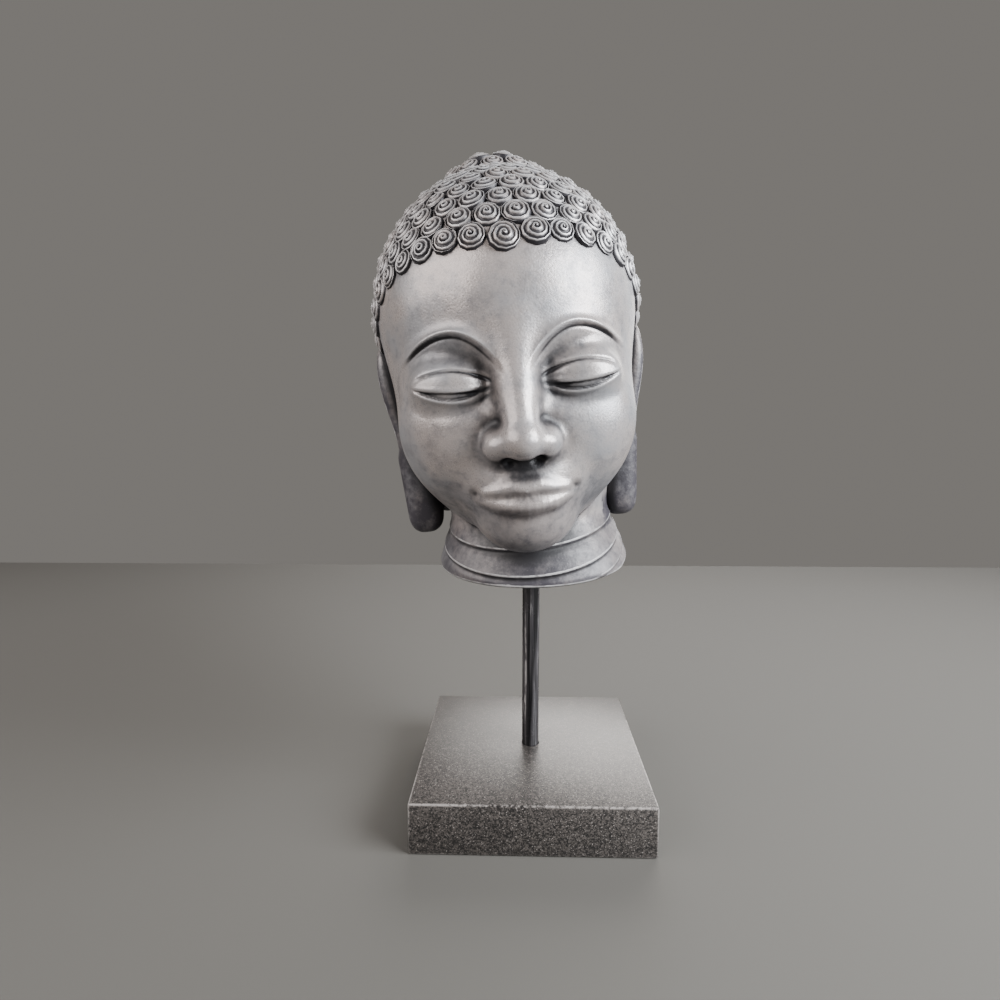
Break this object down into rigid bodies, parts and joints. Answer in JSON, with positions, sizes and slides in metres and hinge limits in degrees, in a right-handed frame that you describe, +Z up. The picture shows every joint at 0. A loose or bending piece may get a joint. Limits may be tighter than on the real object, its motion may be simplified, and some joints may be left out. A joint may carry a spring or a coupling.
{
  "type": "stone buddha head on stand",
  "caption": "Calm stone buddha head with snail curls, topknot and long ears, held over a square granite slab by a round black rod.",
  "frame": {"origin": "middle of the slab's underside, which is also on the rod's axis", "axes": "+Z up along the rod; the face looks along -Y; +X is to the viewer's right"},
  "size_m": [0.1414, 0.1613, 0.3425],
  "materials": {
    "cast_stone": "satin silver-grey cast stone with graphite patina in the recesses",
    "blackened_steel": "gloss black",
    "granite": "polished dark speckled granite"
  },
  "bodies": {
    "root": {"head": "cast_stone", "rod": "blackened_steel", "base": "granite"}
  },
  "joints": []
}
